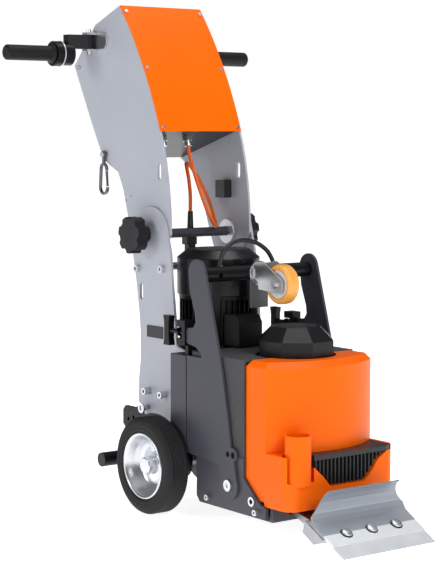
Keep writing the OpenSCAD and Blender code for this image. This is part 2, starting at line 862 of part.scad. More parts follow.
module blade() {
    half = blade_w / 2;
    color(steel) machine() difference() {
        side_plate(-half, blade_w) polygon([[blade_edge_y, 0], [-520, 4], [-435, blade_top(-435) - 3.4],
            [-435, blade_top(-435)]]);
        for (x = [-63, 0, 63]) blade_screw(x, 4.1, 40, 20);
    }
}

// Deflector: a curled sheet over the blade, its upper corners drawn in.
module deflector() {
    t = 2.5;
    rise = concat([[-503, blade_top(-503) + t / 2], [-484, blade_top(-484) + t / 2],
        [-457, blade_top(-457) + t / 2]], [[-447, 49], [-441, 57], [-438, 67],
        [-438, 78], [-440, 88], [-444.5, 97.5], [-451, 105.5], [-459, 111]]);
    half = blade_w / 2;
    color([0.62, 0.64, 0.67]) machine() difference() {
        intersection() {
            side_plate(-half, blade_w) sheet(rise, t);
            translate([0, -400, 0]) rotate([90, 0, 0]) linear_extrude(140) polygon(concat(
                [[-half, 0]], [[half, 0]], arc([half, 62], [half - 28, 114], 6, 8),
                arc([-half + 28, 114], [-half, 62], 6, 8)));
        }
        translate([0, 0, 0.01]) side_plate(-half - 1, blade_w + 2)
            polygon([[blade_edge_y, 0], [-434, blade_top(-434)], [-434, 0]]);
        for (x = [-63, 0, 63]) blade_screw(x, 4.1, 40, 20);
    }
}

module blade_bolts() {
    y = -478;
    color(zinc) machine() for (x = [-63, 0, 63]) {
        blade_screw(x, 4, 22, 2.6);
        translate([x, y, blade_top(y)]) rotate([blade_angle, 0, 0]) translate([0, 0, 2.6])
            cylinder(r = 10.5, h = 5, $fn = 6);
    }
}

// Low-friction pads that the carrier slides on.
module slide_pads() {
    color([0.9, 0.9, 0.88]) machine() for (x = [-42, 42]) for (y = [-225, -275])
        z_rod([x, y], 9, 46, 49.6, 32);
}

// ---- operator's controls -------------------------------------------------

// Places a control square to the sloping face; z = 0 is the face's skin.
module on_face(x) {
    translate([x, 356, 971]) rotate([-45, 0, 0]) children();
}

module stop_button() {
    color([0.85, 0.08, 0.06]) machine() on_face(-55) {
        translate([0, 0, -12]) cylinder(r = 11, h = 18.4, $fn = 32);
        translate([0, 0, 6 + gap]) cylinder(r = 20, h = 12, $fn = 48);
    }
}

module start_button() {
    color([0.10, 0.55, 0.20]) machine() on_face(0) {
        translate([0, 0, -12]) cylinder(r = 6, h = 18, $fn = 32);
    }
}

module main_switch() {
    color(black) machine() on_face(55) {
        translate([0, 0, -12]) cylinder(r = 5, h = 15, $fn = 32);
        translate([0, 0, 2.6]) cylinder(r = 17, h = 8, $fn = 32);
        translate([-3, -16, 10]) cube([6, 32, 8]);
    }
}

base_frame();
base_bolts();
horn_right();
horn_left();
crossbar();
tab_plate();
rear_housing();
side_right();
side_left();
frame_ties();
foot_frame();
vib_motor();
vib_cowl();
vib_shaft();
pump_motor();
pump_cowl();
pump_rotor();
terminal_box();
pump_unit();
wheel_motor();
axle();
rims();
tyres();
weight();
bumper();
grille();
head_cover();
castor_mount();
castor_fork();
castor_wheel();
head_cable();
clamp_blocks();
tee_right();
tee_left();
pivot_tube();
knob_right();
knob_left();
upper_right();
upper_left();
front_panel();
panel_screws();
box_back();
glands();
motor_cable();
cable_socket();
handle_brackets();
bar_right();
bar_left();
grip_right();
grip_left();
snap_hook();
hook_gate();
blade_carrier();
blade();
deflector();
blade_bolts();
slide_pads();
stop_button();
start_button();
main_switch();
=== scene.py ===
"""Looks of a walk-behind floor stripper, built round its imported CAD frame.

Metres, +Z up, front towards -Y.
"""

import json
import math

import bmesh
import bpy
import numpy as np
from mathutils import Euler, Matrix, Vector

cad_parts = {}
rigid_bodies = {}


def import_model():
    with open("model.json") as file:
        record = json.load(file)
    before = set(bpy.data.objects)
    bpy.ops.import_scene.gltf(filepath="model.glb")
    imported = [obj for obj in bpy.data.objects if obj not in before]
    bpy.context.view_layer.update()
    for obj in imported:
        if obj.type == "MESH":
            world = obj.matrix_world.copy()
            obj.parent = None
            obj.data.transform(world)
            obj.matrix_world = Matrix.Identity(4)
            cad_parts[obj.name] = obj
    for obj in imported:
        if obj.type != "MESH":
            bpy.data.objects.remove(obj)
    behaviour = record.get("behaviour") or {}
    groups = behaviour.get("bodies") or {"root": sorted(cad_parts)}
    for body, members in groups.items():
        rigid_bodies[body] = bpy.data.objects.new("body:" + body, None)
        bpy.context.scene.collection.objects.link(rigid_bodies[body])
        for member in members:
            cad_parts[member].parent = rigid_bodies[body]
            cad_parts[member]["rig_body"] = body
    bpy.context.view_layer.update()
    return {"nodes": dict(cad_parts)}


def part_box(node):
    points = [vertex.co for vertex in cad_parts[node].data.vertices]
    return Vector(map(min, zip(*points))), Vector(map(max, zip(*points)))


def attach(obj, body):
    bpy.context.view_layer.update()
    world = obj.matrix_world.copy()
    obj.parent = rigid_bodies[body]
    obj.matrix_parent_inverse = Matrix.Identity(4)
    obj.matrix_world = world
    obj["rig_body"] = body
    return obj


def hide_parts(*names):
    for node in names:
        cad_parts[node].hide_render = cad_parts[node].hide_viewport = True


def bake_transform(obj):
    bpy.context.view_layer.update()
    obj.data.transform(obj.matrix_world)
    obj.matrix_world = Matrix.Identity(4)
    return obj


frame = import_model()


# ---- Camera --------------------------------------------------------------
# A long lens at hip height, in front of the machine and to its right, so that
# the ballast, the blade and the right-hand plates all show.
camera = bpy.data.objects.new("camera", bpy.data.cameras.new("camera"))
bpy.context.scene.collection.objects.link(camera)
camera.location = (-2.1107, -2.7625, 0.7799)
camera.rotation_euler = Euler((math.radians(84.93), 0.0, math.radians(-36.73)))
camera.data.sensor_fit = "VERTICAL"
camera.data.sensor_height = 36.0
camera.data.lens = 107.4
bpy.context.scene.camera = camera


# ---- Motor lead ----------------------------------------------------------
# Orange sheathed lead. It leaves the gland in the console's floor, hangs in a
# bight, loops over behind the pivot tube and comes down into a moulded boot.
class Signal:
    """A shader value: a sum, difference, product or power written on it becomes a Math node."""

    def __init__(self, finish, socket):
        self.finish = finish
        self.socket = socket

    def math(self, operation, *terms):
        """The Math node of that operation on the terms, in their order."""
        return self.finish.add("ShaderNodeMath", {"operation": operation}, *terms)

    def __add__(self, other):
        return self.math("ADD", self, other)

    def __radd__(self, other):
        return self.math("ADD", other, self)

    def __sub__(self, other):
        return self.math("SUBTRACT", self, other)

    def __rsub__(self, other):
        return self.math("SUBTRACT", other, self)

    def __mul__(self, other):
        return self.math("MULTIPLY", self, other)

    def __rmul__(self, other):
        return self.math("MULTIPLY", other, self)

    def __gt__(self, other):
        return self.math("GREATER_THAN", self, other)


class Finish:
    """One material: its Principled shader and the nodes that feed it."""

    def __init__(self, name, **fixed):
        self.material = bpy.data.materials.new(name)
        self.material.use_nodes = True
        self.tree = self.material.node_tree
        self.shader = self.tree.nodes["Principled BSDF"]
        self.coords = self.add("ShaderNodeTexCoord", {}, out="Object")
        for socket, value in fixed.items():
            self.feed(socket.replace("_", " "), value)

    def add(self, kind, settings, *terms, out=0, **named):
        """Adds a node of any kind: settings first, then the values or links of its sockets."""
        node = self.tree.nodes.new(kind)
        for key, value in settings.items():
            if key == "stops":
                ramp = node.color_ramp
                while len(ramp.elements) < len(value):
                    ramp.elements.new(1.0)
                for element, (place, colour) in zip(ramp.elements, value):
                    element.position = place
                    element.color = (*colour, 1.0)
            else:
                setattr(node, key, value)
        for key, value in [*enumerate(terms), *named.items()]:
            self.set(node.inputs[key], value)
        return Signal(self, node.outputs[out])

    def set(self, socket, value):
        """Links a signal to a socket, or gives the socket a fixed value."""
        if isinstance(value, Signal):
            self.tree.links.new(value.socket, socket)
        elif hasattr(value, "__len__") and len(value) == 3 and socket.type == "RGBA":
            socket.default_value = (*value, 1.0)
        else:
            socket.default_value = value

    def feed(self, socket, value):
        """Sets or links one socket of the shader itself."""
        self.set(self.shader.inputs[socket], value)

    def place(self, axis):
        """The object's coordinate along the axis, in metres."""
        return self.add("ShaderNodeSeparateXYZ", {}, self.coords, out=axis)

    def noise(self, scale, detail=3.0, stretch=None):
        """Fractal noise from 0 to 1 on the object's coordinates, stretched along an axis if asked."""
        place = self.coords
        if stretch:
            place = self.add("ShaderNodeMapping", {}, Vector=place, Scale=stretch)
        return self.add("ShaderNodeTexNoise", {}, Vector=place, Scale=scale, Detail=detail)

    def cells(self, scale):
        """Distance to the nearest of a field of random points."""
        return self.add("ShaderNodeTexVoronoi", {}, Vector=self.coords, Scale=scale)

    def mix(self, factor, a, b):
        """Colour a where the factor is 0, and b where it is 1."""
        node = self.tree.nodes.new("ShaderNodeMix")
        node.data_type = "RGBA"
        for index, value in ((0, factor), (6, a), (7, b)):
            self.set(node.inputs[index], value)
        return Signal(self, node.outputs[2])

    def bump(self, height, depth):
        """Raises the surface by depth metres where height is 1."""
        normal = self.add("ShaderNodeBump", {}, Strength=1.0, Distance=depth, Height=height)
        self.feed("Normal", normal)


def shade(colour, factor):
    """The colour times the factor, no channel above 1."""
    return tuple(min(1.0, c * factor) for c in colour)


def new_piece(name, points, faces, finish, smooth_angle=35.0):
    """A mesh object from points and faces, its normals outwards and its edges over the angle kept sharp."""
    mesh = bpy.data.meshes.new(name)
    mesh.from_pydata(np.asarray(points).tolist(), [], [list(f) for f in faces])
    obj = bpy.data.objects.new(name, mesh)
    bpy.context.scene.collection.objects.link(obj)
    return finished(obj, finish, smooth_angle)


def finished(obj, finish, smooth_angle):
    """Merges the doubles of a piece, points its faces outwards, shades it and gives it its material."""
    work = bmesh.new()
    work.from_mesh(obj.data)
    bmesh.ops.remove_doubles(work, verts=work.verts, dist=1e-6)
    bmesh.ops.recalc_face_normals(work, faces=work.faces)
    for face in work.faces:
        face.smooth = True
    sharp = math.radians(smooth_angle)
    for edge in work.edges:
        edge.smooth = len(edge.link_faces) == 2 and edge.calc_face_angle(0.0) < sharp
    work.to_mesh(obj.data)
    work.free()
    obj.data.materials.clear()
    obj.data.materials.append(finish.material)
    return obj


def grid_faces(rows, columns, closed_rows=False, closed_columns=False):
    """The quads of a grid of rows x columns points, joined across its ends where it is closed."""
    r = np.arange(rows if closed_rows else rows - 1)
    c = np.arange(columns if closed_columns else columns - 1)
    r, c = (a.ravel() for a in np.meshgrid(r, c, indexing="ij"))
    r1, c1 = (r + 1) % rows, (c + 1) % columns
    return np.stack([r * columns + c, r * columns + c1, r1 * columns + c1, r1 * columns + c], 1).tolist()


def curve_through(points, steps):
    """A smooth curve through points: on each stretch b..c with neighbours a and d, at t from 0 to 1,
    half of (2b + (c - a)t + (2a - 5b + 4c - d)t^2 + (3b - a - 3c + d)t^3)."""
    p = np.asarray(points, float)
    a, b, c, d = np.vstack([p[:1], p[:-2]]), p[:-1], p[1:], np.vstack([p[2:], p[-1:]])
    t = np.linspace(0, 1, steps, endpoint=False)[None, :, None]
    a, b, c, d = (q[:, None, :] for q in (a, b, c, d))
    q = 0.5 * (2 * b + (c - a) * t + (2 * a - 5 * b + 4 * c - d) * t**2 + (3 * b - a - 3 * c + d) * t**3)
    return np.vstack([q.reshape(-1, 3), p[-1:]])


def tube_grid(path, radius, sides):
    """Rings of a tube: path point + radius * (cos v * side + sin v * up), where side stays square to the
    path's direction and turns as little as it can from ring to ring."""
    along = np.gradient(path, axis=0)
    along /= np.linalg.norm(along, axis=1, keepdims=True)
    side = np.empty_like(path)
    last = np.array([1.0, 0.2, 0.1])
    for i, way in enumerate(along):
        last = last - way * (last @ way)
        last /= np.linalg.norm(last)
        side[i] = last
    up = np.cross(along, side)
    v = np.linspace(0, 2 * np.pi, sides, endpoint=False)
    r = np.broadcast_to(np.asarray(radius, float).reshape(-1, 1, 1), (len(path), 1, 1))
    across = np.cos(v)[None, :, None] * side[:, None]
    upwards = np.sin(v)[None, :, None] * up[:, None]
    return path[:, None] + r * (across + upwards)


def tube(name, path, radius, finish, sides=20):
    """A round tube along path, its two ends closed by flat caps."""
    rings = tube_grid(path, radius, sides)
    last = (len(path) - 1) * sides
    caps = [list(range(sides)), list(range(last, last + sides))]
    faces = grid_faces(len(path), sides, False, True) + caps
    return new_piece(name, rings.reshape(-1, 3), faces, finish, 60.0)


def sheath(name, colour, roughness=0.55):
    """Extruded cable sheath: nearly even colour, with faint handling marks and a fine matt grain."""
    finish = Finish(name)
    marks = finish.noise(60.0)
    finish.feed("Base Color", finish.mix(marks, shade(colour, 0.85), shade(colour, 1.1)))
    finish.feed("Roughness", roughness - 0.1 + 0.2 * marks)
    finish.bump(finish.noise(900.0), 0.00005)
    return finish


AXLE_Y = 0.0655  # routes and plate outlines are given about the wheel axle, this far behind the origin
LEAD_D = 0.008
lead_route = [(0, 116, 751.1), (0, 110, 731), (3, 96, 691), (8, 80, 650), (14, 68, 618), (27, 66, 592),
              (47, 81, 580), (67, 109, 587), (79, 137, 611), (80, 160, 645), (71, 176, 679), (54, 181, 705),
              (34, 170, 714), (18, 147, 705), (13, 132, 678), (13, 127, 645), (13, 127, 612)]
lead_points = np.array(lead_route) / 1000 + (0, AXLE_Y, 0)
lead_path = curve_through(lead_points, 8)
lead_orange = sheath("lead_orange", (0.80, 0.13, 0.01))
motor_lead = tube("motor_lead", lead_path, LEAD_D / 2, lead_orange)
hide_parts("motor_cable")
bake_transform(motor_lead)


# ---- Base and horns ------------------------------------------------------
# Laser-cut and welded steel plate, powder coated dark grey: the head's floor,
# the two horns bolted to it and the folded housing behind them.
def softened(node, finish, width=0.0008, angle=30.0, smooth_angle=38.0):
    """A copy of a CAD node with its edges broken as a real part's are: doubles merged, flat facets joined,
    and every edge sharper than the angle rounded to the width given. The copy stands for the node."""
    source = frame["nodes"][node]
    mesh = source.data.copy()
    piece = bpy.data.objects.new(node + "_look", mesh)
    bpy.context.scene.collection.objects.link(piece)
    work = bmesh.new()
    work.from_mesh(mesh)
    bmesh.ops.remove_doubles(work, verts=work.verts, dist=2e-6)
    bmesh.ops.dissolve_limit(work, angle_limit=math.radians(1.0), verts=work.verts, edges=work.edges)
    limit = math.radians(angle)
    sharp = [e for e in work.edges if len(e.link_faces) == 2 and e.calc_face_angle(0.0) > limit]
    bmesh.ops.bevel(work, geom=sharp, offset=width, segments=2, profile=0.5, affect="EDGES",
                    clamp_overlap=True, loop_slide=True)
    work.to_mesh(mesh)
    work.free()
    finished(piece, finish, smooth_angle)
    even = piece.modifiers.new("even_faces", "WEIGHTED_NORMAL")
    even.keep_sharp = True
    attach(piece, source["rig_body"])
    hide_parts(node)


def powder_coat(name, colour, roughness, peel=0.00004, gloss=0.3):
    """Baked powder coat: orange-peel ripple a few millimetres across, slight cloudiness of colour, and dust
    that dulls it near the floor."""
    finish = Finish(name, Specular_IOR_Level=gloss)
    clouds = finish.noise(9.0)
    ripple = finish.noise(420.0, 2.0)
    dust = finish.add("ShaderNodeMapRange", {"clamp": True}, finish.place("Z"), 0.12, 0.0, 0.0, 0.05)
    clean = finish.mix(clouds, shade(colour, 0.93), shade(colour, 1.06))
    finish.feed("Base Color", finish.mix(dust, clean, (0.42, 0.40, 0.37)))
    finish.feed("Roughness", roughness - 0.05 + 0.1 * clouds + dust)
    finish.bump(ripple, peel)
    return finish


frame_colour = (0.052, 0.052, 0.068)
frame_grey = powder_coat("frame_grey", frame_colour, 0.40)
for node in ("base_frame", "horn_right", "horn_left", "rear_housing"):
    softened(node, frame_grey, 0.0010)


# ---- Head cover ----------------------------------------------------------
# Folded sheet steel box round the vibration motor, in a wrinkle-textured coat
# that hides scratches.
wrinkle_coat = Finish("wrinkle_coat", Specular_IOR_Level=0.35)
flattened = wrinkle_coat.add("ShaderNodeMapping", {}, Vector=wrinkle_coat.coords, Scale=(0.7, 0.7, 3.6))
wrinkles = wrinkle_coat.add("ShaderNodeTexNoise", {}, Vector=flattened, Scale=330.0, Detail=4.0,
                            Distortion=1.4)
# The colour follows the wrinkle height: painted shade in the troughs and painted highlight on the ridges,
# over the coat's dark grey.
wrinkle_coat.feed("Base Color", wrinkle_coat.mix(wrinkles, (0.010, 0.010, 0.013), (0.105, 0.103, 0.110)))
wrinkle_coat.feed("Roughness", 0.45 + 0.25 * wrinkles)
wrinkle_coat.bump(wrinkles, 0.0006)
softened("head_cover", wrinkle_coat, 0.0015)


# ---- Cross bar, clamps and foot frame ------------------------------------
# Black coated weldments: the lifting bar with its post, the clamp blocks and
# their tee screws, and the bracket frame that holds the axle and tread bar. A
# small plate in a paler grey hangs under the lifting bar.
black_coat = powder_coat("black_coat", (0.005, 0.005, 0.006), 0.32, gloss=0.22)
for node in ("crossbar", "clamp_blocks", "tee_right", "tee_left"):
    softened(node, black_coat, 0.0012)
softened("foot_frame", black_coat, 0.0010)
tab_coat = powder_coat("tab_coat", (0.125, 0.130, 0.140), 0.40)
softened("tab_plate", tab_coat, 0.0010)


# ---- Base screws, ties and castor mount ----------------------------------
# Zinc-plated fasteners, castor fork and handle brackets: bluish bright metal,
# slightly clouded by the passivation, with a fine grain.
def plated(name, colour, roughness, clouds=25.0, grain=None, grain_depth=0.00002, metal=1.0):
    """Bare or plated metal: cloudy patches change the colour and roughness, and fine grain runs along the
    axis that is stretched least."""
    finish = Finish(name, Metallic=metal)
    patches = finish.noise(clouds)
    lines = finish.noise(800.0, 2.0, grain)
    finish.feed("Base Color", finish.mix(patches, shade(colour, 0.82), shade(colour, 1.12)))
    finish.feed("Roughness", roughness - 0.06 + 0.08 * patches + 0.10 * lines)
    finish.bump(lines, grain_depth)
    return finish


zinc = plated("zinc", (0.66, 0.68, 0.71), 0.30)
for node in ("base_bolts", "frame_ties", "castor_mount", "panel_screws", "blade_bolts"):
    softened(node, zinc, 0.0007)
softened("castor_fork", zinc, 0.0004)
softened("handle_brackets", zinc, 0.0009)


# ---- Lower side plates ---------------------------------------------------
# Laser-cut steel plates from the pivot down to the axle brackets, coated in a
# silvery grey that shows a faint satin sheen.
silver_coat = powder_coat("silver_coat", (0.400, 0.420, 0.475), 0.36, gloss=0.45)
for node in ("side_right", "side_left"):
    softened(node, silver_coat, 0.0010)


# ---- Motors --------------------------------------------------------------
# Two upright motors: cast, finned and painted black, each under a fan cowl.
# The front cowl has eight flats, the rear one is a round drum.
cast_black = powder_coat("cast_black", (0.004, 0.004, 0.005), 0.38, 0.00012, gloss=0.22)
for node in ("vib_motor", "pump_motor", "terminal_box"):
    softened(node, cast_black, 0.0012)


def moulded(name, colour, roughness, grain=700.0, depth=0.00008):
    """Moulded plastic with a spark-eroded grain: small even dimples, and slightly shinier worn patches."""
    finish = Finish(name, Specular_IOR_Level=0.25)
    worn = finish.noise(18.0)
    dimples = finish.cells(grain)
    finish.feed("Base Color", finish.mix(worn, shade(colour, 0.85), shade(colour, 1.25)))
    finish.feed("Roughness", roughness + 0.08 - 0.16 * worn)
    finish.bump(dimples, depth)
    return finish


cowl_plastic = moulded("cowl_plastic", (0.006, 0.006, 0.007), 0.27)
softened("vib_cowl", cowl_plastic, 0.0060, smooth_angle=50.0)
softened("pump_cowl", cowl_plastic, 0.0060, smooth_angle=50.0)


# ---- Hydraulics ----------------------------------------------------------
# Pump with its tank under the deck, and the gear motor round the axle: painted
# castings. The two rotors and the axle are bare turned steel.
pump_paint = powder_coat("pump_paint", (0.11, 0.115, 0.125), 0.40)
for node in ("pump_unit", "wheel_motor"):
    softened(node, pump_paint, 0.0015)
turned_steel = plated("turned_steel", (0.56, 0.57, 0.58), 0.32)
for node in ("vib_shaft", "pump_rotor", "axle"):
    softened(node, turned_steel, 0.0005)


# ---- Drive wheels --------------------------------------------------------
# Solid rubber tyres vulcanised on pressed and dished steel rims, bright plated,
# with a flat hub in the middle and one bolt head on the dish.
def rounded(corners, radius, steps=4):
    """A polyline with its corners rounded: between points a and b, radius before and after a corner c,
    it follows (1 - t)^2 a + 2t(1 - t) c + t^2 b."""
    p = np.asarray(corners, float)
    into = p[1:-1] - p[:-2]
    out_of = p[2:] - p[1:-1]
    into_length = np.linalg.norm(into, axis=1)
    out_length = np.linalg.norm(out_of, axis=1)
    reach = np.minimum(radius, 0.45 * np.minimum(into_length, out_length))
    a = p[1:-1] - into / into_length[:, None] * reach[:, None]
    b = p[1:-1] + out_of / out_length[:, None] * reach[:, None]
    t = np.linspace(0, 1, steps)[None, :, None]
    arcs = (1 - t) ** 2 * a[:, None] + 2 * t * (1 - t) * p[1:-1][:, None] + t**2 * b[:, None]
    return np.vstack([p[:1], arcs.reshape(-1, 2), p[-1:]])


def turned_grid(profile, centre, axis, steps=96):
    """Points of a turned shape: centre + axis * along + radius * (cos v * side + sin v * up), for each
    (along, radius) of the profile and v round the circle."""
    axis = np.asarray(axis, float)
    side = np.cross(axis, (0.0, 0.0, 1.0) if abs(axis[2]) < 0.9 else (1.0, 0.0, 0.0))
    side /= np.linalg.norm(side)
    up = np.cross(axis, side)
    v = np.linspace(0, 2 * np.pi, steps, endpoint=False)
    along, radius = np.asarray(profile, float).T
    ring = np.cos(v)[:, None] * side + np.sin(v)[:, None] * up
    return np.asarray(centre) + along[:, None, None] * axis + radius[:, None, None] * ring[None]


def turned(name, profile, centre, axis, finish, steps=96, smooth_angle=35.0):
    """A closed turned shape whose profile starts and ends on its axis or runs round to its start."""
    rings = turned_grid(profile, centre, axis, steps)
    loops = np.allclose(profile[0], profile[-1])
    rows = len(profile) - 1 if loops else len(profile)
    faces = grid_faces(rows, steps, loops, True)
    return new_piece(name, rings[:rows].reshape(-1, 3), faces, finish, smooth_angle)


def mounted(piece, body, slot, *nodes):
    """Rides the piece on its body and hides the CAD nodes that it stands for. Its slot argument is not
    used.
    """
    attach(piece, body)
    if nodes:
        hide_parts(*nodes)
    return piece


rubber = Finish("tyre_rubber", Specular_IOR_Level=0.25)
bloom = rubber.noise(30.0)
rubber.feed("Base Color", rubber.mix(bloom, (0.006, 0.006, 0.007), (0.018, 0.018, 0.020)))
rubber.feed("Roughness", 0.55 + 0.2 * bloom)
rubber.bump(rubber.noise(600.0), 0.0001)
rim_steel = plated("rim_steel", (0.66, 0.68, 0.71), 0.27, 12.0)

tyre_low, tyre_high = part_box("tyres")
wheel_r = (tyre_high.z - tyre_low.z) / 2
wheel_w = 0.053
GROOVE = 0.0012
tyre_side = [(0.004, 0.069), (0.0015, 0.071), (0, 0.076), (0.0008, 0.080), (0, 0.082), (0.0005, 0.091),
             (0.004, 0.0975), (0.009, wheel_r)]
tyre_half = rounded(tyre_side, 0.003)
other_half = (tyre_half * (-1, 1) + (wheel_w, 0))[::-1]
ribs = np.linspace(0.012, wheel_w - 0.012, 11)
tread = np.stack([ribs, wheel_r - GROOVE * (np.arange(len(ribs)) % 2)], 1)
bead = np.array([(wheel_w - 0.004, 0.066), (0.008, 0.066), (0.004, 0.069)])
tyre_profile = np.vstack([tyre_half, tread, other_half, bead])
hub_and_dish = [(0.007, 0.0005), (0.007, 0.016), (0.010, 0.018), (0.028, 0.0185), (0.032, 0.022),
                (0.034, 0.040), (0.030, 0.047), (0.020, 0.054), (0.006, 0.0605)]
outer_lip = [(0.0015, 0.0635), (0.0005, 0.067), (0.0035, 0.0694), (0.008, 0.0672)]
inner_lip = [(wheel_w - 0.006, 0.0665), (wheel_w - 0.003, 0.069), (wheel_w - 0.002, 0.067),
             (wheel_w - 0.008, 0.0632)]
back_of_dish = [(0.036, 0.062), (0.036, 0.026), (wheel_w - 0.002, 0.024), (wheel_w - 0.001, 0.0132)]
rim_turning = rounded(hub_and_dish + outer_lip + inner_lip + back_of_dish, 0.0022)
rim_profile = np.vstack([[(0.007, 0.0)], rim_turning, [(wheel_w - 0.001, 0.0129)]])
bolt_profile = [(0.0, 0.0), (0.0, 0.0075), (0.0060, 0.0075), (0.0070, 0.0060), (0.0070, 0.0)]
for side, word in ((-1, "right"), (1, "left")):
    outer = (side * tyre_high.x, AXLE_Y, wheel_r)
    inwards = (-side, 0, 0)
    tyre = turned("tyre_" + word, tyre_profile, outer, inwards, rubber, 128)
    mounted(tyre, "drive", "tyre", "tyres")
    rim = turned("rim_" + word, rim_profile, outer, inwards, rim_steel, 128)
    mounted(rim, "drive", "rim_steel", "rims")
    bolt_seat = (side * (tyre_high.x - 0.031), AXLE_Y - 0.006, wheel_r + 0.034)
    bolt = turned("rim_bolt_" + word, bolt_profile, bolt_seat, (side, 0, 0), zinc, 6, 20.0)
    mounted(bolt, "drive", "rim_steel")


# ---- Cowl vents and rating plate -----------------------------------------
# Crowned discs with the look of pierced steel on the two cowls' tops, and a
# dark plate without print on the outside of the right-hand lower plate.
vent_mesh = Finish("vent_mesh", Metallic=0.4, Specular_IOR_Level=0.3)
holes = vent_mesh.add("ShaderNodeTexVoronoi", {}, Vector=vent_mesh.coords, Scale=260.0, Randomness=0.0)
web_over_hole_shade = vent_mesh.add("ShaderNodeMapRange", {"clamp": True}, holes, 0.34, 0.42, 0.0, 1.0)
# The holes are not cut: near-black spots in a regular grid stand for them, painted shade of the cowl's
# inside seen through the holes, between the grey web.
vent_mesh.feed("Base Color", vent_mesh.mix(web_over_hole_shade, (0.002, 0.002, 0.002), (0.070, 0.070, 0.075)))
vent_mesh.feed("Roughness", 0.75 - 0.35 * web_over_hole_shade)
vent_mesh.bump(web_over_hole_shade, 0.0008)
for name, node, radius in (("vib_vent", "vib_cowl", 0.043), ("pump_vent", "pump_cowl", 0.062)):
    low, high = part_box(node)
    seat = ((low.x + high.x) / 2, (low.y + high.y) / 2, high.z)
    crown = [(-0.0006, 0.0), (-0.0006, radius), (0.0008, radius - 0.0006), (0.0014, radius * 0.6),
             (0.0018, 0.0)]
    mounted(turned(name, crown, seat, (0, 0, 1), vent_mesh, 64), "chassis", "cowl_black")


def slab(name, low, high, finish):
    """A thin plate between two corners, its eight points every mix of the corners' x, y and z."""
    x, y, z = (np.array(pair) for pair in zip(low, high))
    points = np.stack([g.ravel() for g in np.meshgrid(x, y, z, indexing="ij")], 1)
    faces = [(0, 1, 3, 2), (4, 5, 7, 6), (0, 1, 5, 4), (2, 3, 7, 6), (0, 2, 6, 4), (1, 3, 7, 5)]
    return new_piece(name, points, faces, finish, 20.0)


plate_dark = Finish("plate_dark", Specular_IOR_Level=0.3)
brushing = plate_dark.noise(600.0, 2.0, (1.0, 0.05, 1.0))
plate_dark.feed("Base Color", plate_dark.mix(brushing, (0.020, 0.020, 0.024), (0.045, 0.045, 0.052)))
plate_dark.feed("Roughness", 0.35 + 0.15 * brushing)
plate_dark.bump(brushing, 0.00003)
plate_low = (-0.1140, AXLE_Y + 0.0495, 0.3505)
plate_high = (-0.1134, AXLE_Y + 0.1085, 0.3755)
mounted(slab("rating_plate", plate_low, plate_high, plate_dark), "chassis", "zinc")


# ---- Ballast -------------------------------------------------------------
# Two steel castings in orange powder coat: the tall weight that wraps the
# motor, and the bumper below it with the welded socket tube. The grille in the
# bumper's recess is black plastic.
orange_coat = powder_coat("orange_coat", (1.0, 0.140, 0.0), 0.36, 0.00003, 0.12)
softened("weight", orange_coat, 0.0012, 20.0)
softened("bumper", orange_coat, 0.0012, 25.0)
grille_plastic = moulded("grille_plastic", (0.030, 0.030, 0.034), 0.38)
softened("grille", grille_plastic, 0.0007)


# ---- Castor --------------------------------------------------------------
# Transport castor on the lifting bar: an amber polyurethane tread cast on a
# pale core, on a bolt through the pressed fork.
castor_tread = Finish("castor_tread", Coat_Weight=0.3, Coat_Roughness=0.2)
amber = castor_tread.noise(40.0)
castor_tread.feed("Base Color", castor_tread.mix(amber, (0.80, 0.32, 0.045), (0.95, 0.47, 0.09)))
castor_tread.feed("Roughness", 0.32 + 0.12 * amber)
castor_core = moulded("castor_core", (0.70, 0.70, 0.70), 0.35)
castor_low, castor_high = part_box("castor_wheel")
castor_mid = (castor_low + castor_high) / 2
castor_r = (castor_high.z - castor_low.z) / 2
tread_side = [(-0.010, 0.028), (-0.0135, 0.030), (-0.0145, 0.034), (-0.013, 0.0375), (-0.009, castor_r)]
tread_back = [(-along, radius) for along, radius in reversed(tread_side)]
tread_profile = rounded(tread_side + tread_back + [(0.0, 0.0275), (-0.010, 0.028)], 0.002)
core_side = [(-0.0155, 0.0041), (-0.0155, 0.009), (-0.011, 0.012), (-0.0105, 0.022), (-0.0125, 0.0245),
             (-0.0125, 0.0285)]
core_back = [(-along, radius) for along, radius in reversed(core_side)]
core_profile = rounded(core_side + core_back + [(-0.0155, 0.0041)], 0.001)
for name, profile, finish in (("castor_tread", tread_profile, castor_tread),
                              ("castor_core", core_profile, castor_core)):
    mounted(turned(name, profile, castor_mid, (1, 0, 0), finish, 72), "castor_roll",
            "castor_amber", "castor_wheel")


# ---- Control cable of the head -------------------------------------------
# Black sheathed cable that leaves the lifting bar through a boot, arches over
# it and goes back in. The boot of the motor lead is of the same rubber.
cable_black = sheath("cable_black", (0.006, 0.006, 0.007), 0.42)
arch_route = [(-84, -112, 511), (-84, -111, 520), (-74, -109, 540), (-50, -106, 557), (-20, -104, 562),
              (12, -104, 556), (38, -106, 540), (50, -109, 522), (52, -112, 511)]
arch_path = curve_through(np.array(arch_route) / 1000 + (0, AXLE_Y, 0), 10)
ARCH_R = 0.0045
mounted(tube("head_arch", arch_path, ARCH_R, cable_black), "chassis", "cable_black", "head_cable")
boot_profile = rounded([(-0.0045, 0.0), (-0.0045, 0.0075), (0.001, 0.0075), (0.0035, 0.0055),
                        (0.0035, 0.0)], 0.001)
for word, end in (("right", arch_path[0]), ("left", arch_path[-1])):
    boot = turned("arch_boot_" + word, boot_profile, end, (0, 0, 1), cable_black, 32)
    mounted(boot, "chassis", "cable_black")
softened("cable_socket", cable_black, 0.0010)


